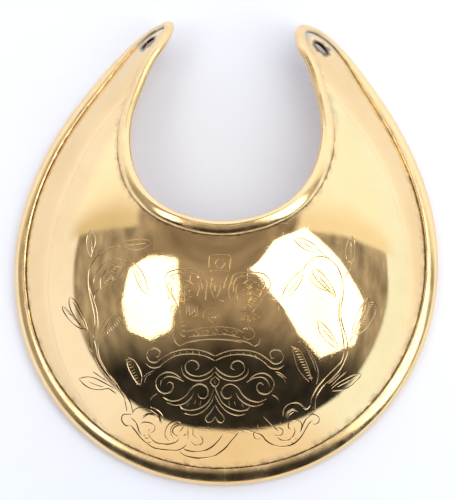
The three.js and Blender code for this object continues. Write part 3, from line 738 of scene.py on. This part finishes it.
class Grooves:
    # the cuts in the face: lines for its mesh to follow, and their depth at any place
    def __init__(self, hatchLines):
        self.lines = []
        rng = np.random.default_rng(21)
        for kind, half in engraving["halfWidth"].items():
            strokes = [np.array(stroke).reshape(-1, 2) for stroke in engraving[kind]]
            for points in strokes + (hatchLines if kind == "hairlines" else []):
                line, run = smoothLine(points, engraving["step"])
                ends = np.minimum(run, run[-1] - run) / min(engraving["pointedOver"], run[-1] / 2)
                swell = 0.9 + engraving["swell"] * np.sin(run * rng.uniform(0.5, 0.9) + rng.uniform(0, 6))
                self.lines.append((line, half * swell * np.clip(ends, 0, 1) ** engraving["pointedPower"]))

    def rails(self):
        points, edges, first = [], [], 0
        for line, half in self.lines:
            way = unit(np.gradient(line, axis=0))
            side = np.stack([-way[:, 1], way[:, 0]], -1) * half[:, None]
            n, m = len(line), len(line) - 2
            points += [line, (line + side)[1:-1], (line - side)[1:-1]]
            edges += [(first + i, first + i + 1) for i in range(n - 1)]
            for start in (first + n, first + n + m):
                chain = [first] + [start + i for i in range(m)] + [first + n - 1]
                edges += list(zip(chain[:-1], chain[1:]))
            first += n + 2 * m
        return np.concatenate(points), edges

    def depthAt(self, places):
        start = np.concatenate([line[:-1] for line, _ in self.lines])
        step = np.concatenate([np.diff(line, axis=0) for line, _ in self.lines])
        half = np.concatenate([half[:-1] for _, half in self.lines])
        widen = np.concatenate([np.diff(half) for _, half in self.lines])
        depth = np.zeros(len(places))
        for i in range(0, len(places), 300):
            away = places[i:i + 300, None] - start
            share = np.clip((away * step).sum(-1) / (step ** 2).sum(-1), 0, 1)
            gap = np.linalg.norm(away - share[..., None] * step, axis=-1)
            depth[i:i + 300] = (half + share * widen - gap).max(1) * engraving["wallSlope"]
        return np.where(depth > engraving["leastDepth"], depth, 0)


class Shell:
    # points, normals and faces of the plate while it is put together
    def __init__(self):
        self.points, self.normals = [], []
        self.marks = {"seam": [], "cut": [], "dirt": [], "worn": []}
        self.faces, self.flat, self.finish = [], [], []
        self.count = 0

    def addPoints(self, points, normals, **marks):
        self.points.append(points)
        self.normals.append(normals)
        for name, values in self.marks.items():
            values.append(np.broadcast_to(marks.get(name, 0.0), len(points)))
        first = self.count
        self.count += len(points)
        return np.arange(first, self.count)

    def addFaces(self, faces, flat=False, finish=0):
        self.faces.extend(faces)
        self.flat.extend(flat if isinstance(flat, list) else [flat] * len(faces))
        self.finish.extend([finish] * len(faces))


def sheetFace(shell, rim, holes, up, step, cuts, facing, finish):
    # one face of the sheet between its rim and its holes, with the engraver's cuts in it
    plan = [rim[1][:, :2]] + [h[1][:, :2] for h in holes]
    owners = np.concatenate([rim[0]] + [h[0] for h in holes])
    edges, first = [], 0
    for loop in plan:
        n = len(loop)
        edges += [(first + i, first + (i + 1) % n) for i in range(n)]
        first += n
    fixed = np.concatenate(plan)
    lines = np.zeros((0, 2))
    if cuts:
        lines, cutEdges = cuts.rails()
        edges += [(a + first, b + first) for a, b in cutEdges]
    filler = evenPoints(plan[0], step)
    filler = filler[awayFrom(filler, fixed, step * 0.6)]
    if len(lines):
        filler = filler[awayFrom(filler, lines, engraving["clearance"])]
    flatPoints = np.concatenate([fixed, lines, filler])
    coords, _, triangles, origins, _, _ = delaunay_2d_cdt(
        [Vector(p) for p in flatPoints], edges, [], 1, 1e-5, True)
    coords = np.array([tuple(c) for c in coords])
    triangles = np.array([t for t in triangles if len(t) == 3])
    middles = coords[triangles].mean(1)
    keep = np.ones(len(triangles), bool)
    for h in plan[1:]:
        keep &= ~insideLoop(middles, h)
    keep &= insideLoop(middles, plan[0])
    triangles = triangles[keep]
    owner = np.full(len(coords), -1)
    for i, source in enumerate(origins):
        for s in source:
            if s < len(owners):
                owner[i] = owners[s]
    loose = np.where(owner < 0)[0]
    angle, across = underPlan(coords[loose], up)
    normals = surfaceNormal(angle, across)
    points = beadSurface(angle, across) + up * normals
    depth = np.zeros(len(coords))
    if cuts:
        depth[loose] = cuts.depthAt(coords[loose])
        points -= depth[loose][:, None] * normals
    fromSeam = np.concatenate([np.linalg.norm(coords[loose[i:i + 300], None] - plan[0], axis=-1).min(1)
                               for i in range(0, len(loose), 300)])
    # dirt and painted shade darken the cuts round the dome; on top of the dome, where the cuts catch the
    # light, they are left light
    cut = depth[loose] / engraving["fullDepth"]
    (domeX, domeY), (wide, long) = engraving["lightCutsMiddle"], engraving["lightCutsReach"]
    fromTop = np.hypot((coords[loose, 0] - domeX) / wide, np.minimum(coords[loose, 1] - domeY, 0) / long)
    leftOnTop, (inner, outer) = engraving["dirtOnTop"], engraving["dirtFrom"]
    dirt = (leftOnTop + (1 - leftOnTop) * np.clip((fromTop - inner) / (outer - inner), 0, 1)) * cut
    owner[loose] = shell.addPoints(points, normals * facing, seam=np.exp(-fromSeam / plate["seamFade"]),
                                   cut=cut, dirt=dirt)
    a, b, c = (coords[triangles[:, i]] for i in range(3))
    turnedRight = ((b - a)[:, 0] * (c - a)[:, 1] - (b - a)[:, 1] * (c - a)[:, 0]) * facing > 0
    triangles[~turnedRight] = triangles[~turnedRight][:, ::-1]
    grooved = depth[triangles].max(1) > 1e-4
    shell.addFaces([list(owner[t]) for t in triangles], [bool(g) for g in grooved], finish)


def gridFaces(rows):
    # quads between neighbouring rows of shared points, closed round
    faces = []
    for here, there in zip(rows[:-1], rows[1:]):
        for i in range(len(here)):
            j = (i + 1) % len(here)
            faces.append([here[i], there[i], there[j], here[j]])
    return faces


def plateShell(cuts):
    shell = Shell()
    edge, edgeNormals = turnedEdge()
    count, rows = edge.shape[:2]
    onHorns = (np.abs(next(edgeStations())) - bead["hornsFrom"]) / (bead["hornsFull"] - bead["hornsFrom"])
    onHorns = onHorns.clip(0, 1)[:, None]
    seam, worn = np.zeros((count, rows)), np.zeros((count, rows))
    seam[:, :len(bead["tarnishAndShade"])] = bead["tarnishAndShade"]
    seam *= 1 - bead["hornShine"] * onHorns
    worn[:, 3:] = 1 + bead["hornWear"] * onHorns
    ids = shell.addPoints(edge.reshape(-1, 3), edgeNormals.reshape(-1, 3), seam=seam.ravel(),
                          worn=worn.ravel())
    ids = ids.reshape(count, rows)
    for k in range(rows - 1):
        quads = [[ids[i, k], ids[i, k + 1], ids[(i + 1) % count, k + 1], ids[(i + 1) % count, k]]
                 for i in range(count)]
        shell.addFaces(quads, 1 <= k <= 3)
    up = {"front": -plate["faceDrop"], "back": -plate["faceDrop"] - plate["sheet"]}
    faceHoles, backHoles = [], []
    for side in (-1, 1):
        radius, ease = plate["holeDiameter"] / 2, plate["holeEase"]
        normal = surfaceNormal(side * plate["hornEndAngle"], 0.5)
        loops = []
        for r, level, drop in ((radius + ease, "front", 0), (radius, "front", ease),
                               (radius, "back", -ease), (radius + ease, "back", 0)):
            points, normals = holeLoop(side, r, up[level])
            points = points - drop * normal
            facing = normals if level == "front" else -normals
            # the holes' rims and walls are darkened: stains, and painted shade inside the holes
            dirt = 0.9 if drop else 0.35
            loops.append((shell.addPoints(points, facing, seam=0.3, dirt=dirt), points))
        shell.addFaces(gridFaces([loop[0] for loop in loops]), True)
        faceHoles.append(loops[0])
        backHoles.append(loops[3])
    sheetFace(shell, (ids[:, 0], edge[:, 0]), faceHoles, up["front"], plate["faceStep"], cuts, 1, 0)
    sheetFace(shell, (ids[:, -1], edge[:, -1]), backHoles, up["back"], plate["backStep"], None, -1, 1)
    return shell


def meshFromShell(name, shell):
    points = np.concatenate(shell.points)
    normals = np.concatenate(shell.normals)
    low, high = points.min(0), points.max(0)
    shift = -np.array([(low[0] + high[0]) / 2, (low[1] + high[1]) / 2, low[2]])
    mesh = bpy.data.meshes.new(name)
    mesh.from_pydata((points + shift) * millimetre, [], shell.faces)
    mesh.polygons.foreach_set("use_smooth", [True] * len(mesh.polygons))
    mesh.polygons.foreach_set("material_index", shell.finish)
    mesh.update()
    faceNormals = np.zeros(len(mesh.polygons) * 3)
    mesh.polygons.foreach_get("normal", faceNormals)
    faceNormals = faceNormals.reshape(-1, 3)
    corner = np.concatenate([np.array(f) for f in shell.faces])
    faceOf = np.repeat(np.arange(len(shell.faces)), [len(f) for f in shell.faces])
    flat = np.array(shell.flat)[faceOf]
    loopNormals = np.where(flat[:, None], faceNormals[faceOf], normals[corner])
    mesh.normals_split_custom_set([tuple(n) for n in loopNormals])
    for mark, values in shell.marks.items():
        layer = mesh.attributes.new(mark, "FLOAT", "POINT")
        layer.data.foreach_set("value", np.concatenate(values).astype(np.float32))
    return mesh, shift


gilding = {
    # the tarnish colour is tarnish and painted shade in the seam's crevice
    "colour": (0.935, 0.69, 0.36, 1), "worn": (0.89, 0.64, 0.32, 1), "tarnishAndShade": (0.3, 0.2, 0.1, 1),
    # the cut colour and the dark colour after it: residue and dirt, with painted shade in the grooves and
    # inside the holes
    "haze": (0.42, 0.31, 0.18, 1), "inCut": (0.55, 0.45, 0.31, 1), "dirt": (0.085, 0.045, 0.018, 1),
    "stain": (0.34, 0.37, 0.42, 1), "stainFrom": 0.0595, "stainFull": 0.0615,  # metres along Y
    "hazeShare": 0.75, "stainShare": 0.7,
    "roughness": (0.03, 0.075), "roughScratch": 0.06, "roughHaze": 0.2, "roughCut": 0.42,
    "roughRubbed": (0.07, 0.2),
    "waviness": 0.00008,  # metres, the hammer's traces left in the sheet
    "scratch": 0.0000018, "grain": 0.000006,
    # the noises' scales
    "patches": 60, "smudges": 330, "seamPatches": 520, "clouds": 150, "scratches": 1100, "rubbing": 240,
    "waves": 75, "grains": 2400,
}

hollowSide = {
    "colour": (0.80, 0.55, 0.27, 1), "dull": (0.55, 0.36, 0.17, 1), "roughness": (0.3, 0.45),
    "relief": 0.00002, "patches": 45, "clouds": 220, "dents": 260,
}


class Nodes:
    # short ways to put a tree of shader nodes together
    def __init__(self, tree):
        self.nodes, self.links = tree.nodes, tree.links

    def feed(self, socket, value):
        if hasattr(value, "is_output"):
            self.links.new(value, socket)
        else:
            socket.default_value = value

    def parts(self, vector):
        node = self.nodes.new("ShaderNodeSeparateXYZ")
        self.links.new(vector, node.inputs[0])
        return node.outputs["X"], node.outputs["Y"], node.outputs["Z"]

    def span(self, value, start, end, low=0.0, high=1.0, soft=False):
        node = self.nodes.new("ShaderNodeMapRange")
        if soft:
            node.interpolation_type = "SMOOTHSTEP"
        for name, number in (("From Min", start), ("From Max", end), ("To Min", low), ("To Max", high)):
            node.inputs[name].default_value = number
        self.links.new(value, node.inputs["Value"])
        return node.outputs[0]

    def maths(self, operation, *values):
        node = self.nodes.new("ShaderNodeMath")
        node.operation = operation
        for socket, value in zip(node.inputs, values):
            self.feed(socket, value)
        return node.outputs[0]

    def blend(self, share, first, second):
        node = self.nodes.new("ShaderNodeMix")
        node.data_type = "RGBA"
        self.feed(node.inputs["Factor"], share)
        for name, colour in (("A", first), ("B", second)):
            self.feed([s for s in node.inputs if s.name == name and s.type == "RGBA"][0], colour)
        return [s for s in node.outputs if s.type == "RGBA"][0]


class Finish(Nodes):
    # a material on the object's own coordinates
    def __init__(self, name):
        self.material = bpy.data.materials.new(name)
        self.material.use_nodes = True
        super().__init__(self.material.node_tree)
        self.shader = self.nodes["Principled BSDF"].inputs
        self.place = self.nodes.new("ShaderNodeTexCoord").outputs["Object"]

    def noise(self, scale, detail, stretch=(1, 1, 1), turn=0.0):
        mapping = self.nodes.new("ShaderNodeMapping")
        mapping.inputs["Scale"].default_value = stretch
        mapping.inputs["Rotation"].default_value = (0, 0, turn)
        self.links.new(self.place, mapping.inputs["Vector"])
        node = self.nodes.new("ShaderNodeTexNoise")
        self.links.new(mapping.outputs[0], node.inputs["Vector"])
        node.inputs["Scale"].default_value = scale
        node.inputs["Detail"].default_value = detail
        return node.outputs["Fac"]

    def mark(self, name):
        node = self.nodes.new("ShaderNodeAttribute")
        node.attribute_name = name
        return node.outputs["Fac"]

    def relief(self, height, distance, under=None):
        node = self.nodes.new("ShaderNodeBump")
        node.inputs["Distance"].default_value = distance
        self.links.new(height, node.inputs["Height"])
        if under:
            self.links.new(under, node.inputs["Normal"])
        return node.outputs[0]


def giltMaterial():
    look = Finish("gilt")
    nearSeam, inCut = look.mark("seam"), look.span(look.mark("cut"), 0.05, 0.6)
    patches = look.span(look.noise(gilding["patches"], 4), 0.45, 0.7)
    colour = look.blend(patches, gilding["colour"], gilding["worn"])
    smudge = look.maths("MULTIPLY", look.span(nearSeam, 0.12, 0.9),
                        look.span(look.noise(gilding["smudges"], 5), 0.38, 0.62))
    colour = look.blend(look.maths("MULTIPLY", smudge, gilding["hazeShare"]), colour, gilding["haze"])
    # grey stains inside the horns' tips
    tips = look.span(look.parts(look.place)[1], gilding["stainFrom"], gilding["stainFull"])
    stained = look.maths("MULTIPLY", tips, look.span(nearSeam, 0.12, 0.55))
    colour = look.blend(look.maths("MULTIPLY", stained, gilding["stainShare"]), colour, gilding["stain"])
    # a dark line along the seam: tarnish, and painted shade in its crevice
    seam = look.maths("MULTIPLY", nearSeam,
                      look.span(look.noise(gilding["seamPatches"], 3), 0.3, 0.6, 0.82, 1.05))
    colour = look.blend(look.span(seam, 0.7, 0.95), colour, gilding["tarnishAndShade"])
    # the cuts turn duller and darker: residue, and painted shade of the narrow grooves
    colour = look.blend(inCut, colour, gilding["inCut"])
    # dark fill in the cuts and round the holes: dirt, and painted shade in the narrow grooves and inside the
    # holes
    colour = look.blend(look.span(look.mark("dirt"), 0.05, 0.28), colour, gilding["dirt"])
    look.feed(look.shader["Base Color"], colour)
    look.shader["Metallic"].default_value = 1

    scratches = look.maths("MAXIMUM", *(
        look.span(look.noise(gilding["scratches"], 2, stretch, turn), 0.68, 0.76)
        for stretch, turn in (((1, 0.12, 1), 0.5), ((0.12, 1, 1), 0.3))))
    clouds = look.span(look.noise(gilding["clouds"], 6), 0.35, 0.75)
    rubbed = look.maths("MULTIPLY", look.mark("worn"),
                        look.span(look.noise(gilding["rubbing"], 4), 0.3, 0.7, *gilding["roughRubbed"]))
    rough = look.span(clouds, 0, 1, *gilding["roughness"])
    for more in (look.maths("MULTIPLY", scratches, gilding["roughScratch"]),
                 look.maths("MULTIPLY", smudge, gilding["roughHaze"]),
                 look.maths("MULTIPLY", inCut, gilding["roughCut"]), rubbed):
        rough = look.maths("ADD", rough, more)
    look.feed(look.shader["Roughness"], rough)

    wavy = look.relief(look.noise(gilding["waves"], 1), gilding["waviness"])
    grain = look.maths("MULTIPLY", look.noise(gilding["grains"], 3),
                       look.span(look.noise(gilding["patches"], 4), 0.42, 0.6))
    grainy = look.relief(grain, gilding["grain"], wavy)
    look.feed(look.shader["Normal"], look.relief(scratches, gilding["scratch"], grainy))
    return look.material


def backMaterial():
    look = Finish("giltBack")
    patches = look.span(look.noise(hollowSide["patches"], 6), 0.35, 0.7)
    look.feed(look.shader["Base Color"], look.blend(patches, hollowSide["colour"], hollowSide["dull"]))
    look.shader["Metallic"].default_value = 1
    rough = look.span(look.noise(hollowSide["clouds"], 5), 0.3, 0.7, *hollowSide["roughness"])
    look.feed(look.shader["Roughness"], rough)
    look.feed(look.shader["Normal"], look.relief(look.noise(hollowSide["dents"], 4), hollowSide["relief"]))
    return look.material


table = {
    "size": 2.4, "colour": (0.86, 0.87, 0.89, 1), "patches": (0.83, 0.845, 0.875, 1),
    # painted shade: the table darkens towards the plate's front, along -y
    "shaded": (0.73, 0.77, 0.84, 1), "shadedFrom": -0.02, "shadedFull": -0.1,  # metres along Y
    # painted light: the table top glows, weakly near the plate and more further out
    "glow": (1.09, 1.18, 1.63, 1), "glowNear": 0.09, "glowFar": 0.3,
    "nearUpTo": 0.03, "farFrom": 0.3,  # metres from the plate's middle
}


def tableMaterial():
    look = Finish("whiteTable")
    colour = look.blend(look.noise(40, 4), table["colour"], table["patches"])
    # painted shade, darker towards -y
    shade = look.span(look.parts(look.place)[1], table["shadedFrom"], table["shadedFull"])
    look.feed(look.shader["Base Color"], look.blend(shade, colour, table["shaded"]))
    look.shader["Roughness"].default_value = 0.6
    reach = look.nodes.new("ShaderNodeVectorMath")
    reach.operation = "LENGTH"
    look.links.new(look.place, reach.inputs[0])
    # painted light: the table glows more with distance from the plate's middle
    look.shader["Emission Color"].default_value = table["glow"]
    look.feed(look.shader["Emission Strength"],
              look.span(reach.outputs["Value"], table["nearUpTo"], table["farFrom"],
                        table["glowNear"], table["glowFar"]))
    return look.material


def makeTable():
    mesh = bpy.data.meshes.new("tableTop")
    h = table["size"] / 2
    mesh.from_pydata([(-h, -h, 0), (h, -h, 0), (h, h, 0), (-h, h, 0)], [], [(0, 1, 2, 3)])
    top = bpy.data.objects.new("tableTop", mesh)
    mesh.materials.append(tableMaterial())
    bpy.context.collection.objects.link(top)


# corners of the two soft lights, in metres
softLights = {
    "left": {"strength": 2.9, "corners": [
        (-0.564, -0.171, 0.713), (-0.481, 0.013, 0.778), (-0.331, 0.11, 0.862), (-0.189, 0.162, 0.936),
        (-0.235, -0.101, 0.878), (-0.295, -0.301, 0.822), (-0.421, -0.383, 0.751), (-0.55, -0.338, 0.697)]},
    "right": {"strength": 2.9, "corners": [
        (-0.008, 0.137, 1.065), (0.056, 0.287, 1.037), (0.3, 0.336, 0.893), (0.633, 0.117, 0.679),
        (0.89, -0.109, 0.51), (0.888, -0.405, 0.492), (0.592, -0.499, 0.663), (0.384, -0.356, 0.797)]},
}


def makeSoftLights():
    for side, light in softLights.items():
        mesh = bpy.data.meshes.new("softLight_" + side)
        mesh.from_pydata(light["corners"], [], [tuple(range(len(light["corners"])))])
        panel = bpy.data.objects.new("softLight_" + side, mesh)
        material = bpy.data.materials.new("softLight_" + side)
        material.use_nodes = True
        nodes = material.node_tree.nodes
        nodes.clear()
        glow, out = nodes.new("ShaderNodeEmission"), nodes.new("ShaderNodeOutputMaterial")
        glow.inputs["Color"].default_value = (1.0, 0.99, 0.97, 1)
        glow.inputs["Strength"].default_value = light["strength"]
        material.node_tree.links.new(glow.outputs[0], out.inputs[0])
        mesh.materials.append(material)
        bpy.context.collection.objects.link(panel)
        panel.visible_camera = False


# What stands round the table, by direction: x and y over one and z, so that the middle is straight up
# and the horizon is a circle of one.
room = {
    "lowLeft": (1.05, 1.11, 1.30, 1), "lowRight": (1.07, 1.26, 1.45, 1), "lowTurns": (-0.6, 0.6),
    "lowFront": (0.97, 0.89, 0.82, 1), "frontTurns": (0.1, 0.55), "frontSlant": 0.7,
    # the dark part overhead
    "middle": (0.03, -0.02), "reach": (0.745, 0.61), "edgeSoft": 0.02,
    "darkMiddle": (0.33, 0.28, 0.24, 1), "darkSide": (0.40, 0.37, 0.34, 1), "darkTurns": (0.05, 0.35),
    "darkFront": (0.03, 0.03, 0.032, 1), "darkFrontTurns": (-0.06, -0.27), "darkSlant": 0.25,
    "clutter": (0.55, 1.5), "clutterStretch": (9.0, 6.0), "clutterScale": 1.6,  # how the dark part varies
    # the backdrop behind the horns, with a dark stretch in it
    "backdropFrom": 0.17, "backdropSoft": 0.012, "backdropEnds": (0.95, 1.2),
    "nearLeft": (0.80, 0.73, 0.60, 1), "nearRight": (1.04, 1.01, 0.90, 1), "nearTurns": (-0.45, 0.4),
    "backdropFar": (1.2, 1.28, 1.4, 1), "farTurns": (0.19, 0.31),
    "gap": (-0.06, 0.2), "gapReach": (0.17, 0.085), "gapEdge": (1.3, 0.7),
}


def makeRoom():
    world = bpy.data.worlds.new("room")
    bpy.context.scene.world = world
    world.use_nodes = True
    view = Nodes(world.node_tree)
    east, north, upward = view.parts(view.nodes.new("ShaderNodeTexCoord").outputs["Generated"])
    under = view.maths("ADD", view.maths("MAXIMUM", upward, -0.5), 1.0)
    x, y = view.maths("DIVIDE", east, under), view.maths("DIVIDE", north, under)
    sideways = view.maths("ABSOLUTE", x)

    def ramp(value, ends):
        return view.span(value, *ends, soft=True)

    def away(middle, reach):
        # squared distance from the middle, in reaches
        squares = [view.maths("POWER", view.maths("DIVIDE", view.maths("SUBTRACT", *pair), size), 2.0)
                   for pair, size in zip(zip((x, y), middle), reach)]
        return view.maths("ADD", *squares)

    def slanted(slant, sign):
        # along y, further at the sides
        return view.maths("ADD", view.maths("MULTIPLY", y, sign), view.maths("MULTIPLY", sideways, slant))

    low = view.blend(ramp(x, room["lowTurns"]), room["lowLeft"], room["lowRight"])
    low = view.blend(ramp(slanted(-room["frontSlant"], -1.0), room["frontTurns"]), low, room["lowFront"])

    dark = view.blend(ramp(sideways, room["darkTurns"]), room["darkMiddle"], room["darkSide"])
    dark = view.blend(ramp(slanted(room["darkSlant"], 1.0), room["darkFrontTurns"]), dark, room["darkFront"])
    spot = view.nodes.new("ShaderNodeCombineXYZ")
    for socket, value, stretch in zip(spot.inputs, (x, y), room["clutterStretch"]):
        view.links.new(view.maths("MULTIPLY", value, stretch), socket)
    clutter = view.nodes.new("ShaderNodeTexNoise")
    clutter.inputs["Scale"].default_value = room["clutterScale"]
    clutter.inputs["Detail"].default_value = 6
    view.links.new(spot.outputs[0], clutter.inputs["Vector"])
    varied = view.nodes.new("ShaderNodeVectorMath")
    varied.operation = "SCALE"
    view.links.new(dark, varied.inputs[0])
    view.links.new(view.span(clutter.outputs["Fac"], 0.3, 0.7, *room["clutter"]), varied.inputs["Scale"])
    dark = varied.outputs[0]

    fromMiddle = view.maths("SQRT", away(room["middle"], room["reach"]))
    soft = room["edgeSoft"]
    colour = view.blend(ramp(fromMiddle, (1 - soft, 1 + soft)), dark, low)

    near = view.blend(ramp(x, room["nearTurns"]), room["nearLeft"], room["nearRight"])
    backdrop = view.blend(ramp(y, room["farTurns"]), near, room["backdropFar"])
    backdrop = view.blend(ramp(fromMiddle, room["backdropEnds"]), backdrop, low)
    backdrop = view.blend(ramp(away(room["gap"], room["gapReach"]), room["gapEdge"]), backdrop, dark)
    start, soft = room["backdropFrom"], room["backdropSoft"]
    colour = view.blend(ramp(y, (start - soft, start + soft)), colour, backdrop)
    view.links.new(colour, view.nodes["Background"].inputs["Color"])


bpy.context.scene.view_settings.view_transform = "Standard"
placeCamera()
makeTable()
makeSoftLights()
makeRoom()
print("camera, table and lights placed")

gilt, giltBack = giltMaterial(), backMaterial()
hatchLines = hatchStrokes(gilt)
print("shading strokes made:", len(hatchLines))
shell = plateShell(Grooves(hatchLines))
plateMesh, shift = meshFromShell("giltPlate", shell)
giltPlate = bpy.data.objects.new("giltPlate", plateMesh)
plateMesh.materials.append(gilt)
plateMesh.materials.append(giltBack)
bpy.context.collection.objects.link(giltPlate)
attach(giltPlate, "root")
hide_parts("gorget_plate")
print("plate made, faces:", len(plateMesh.polygons), "shift", shift)
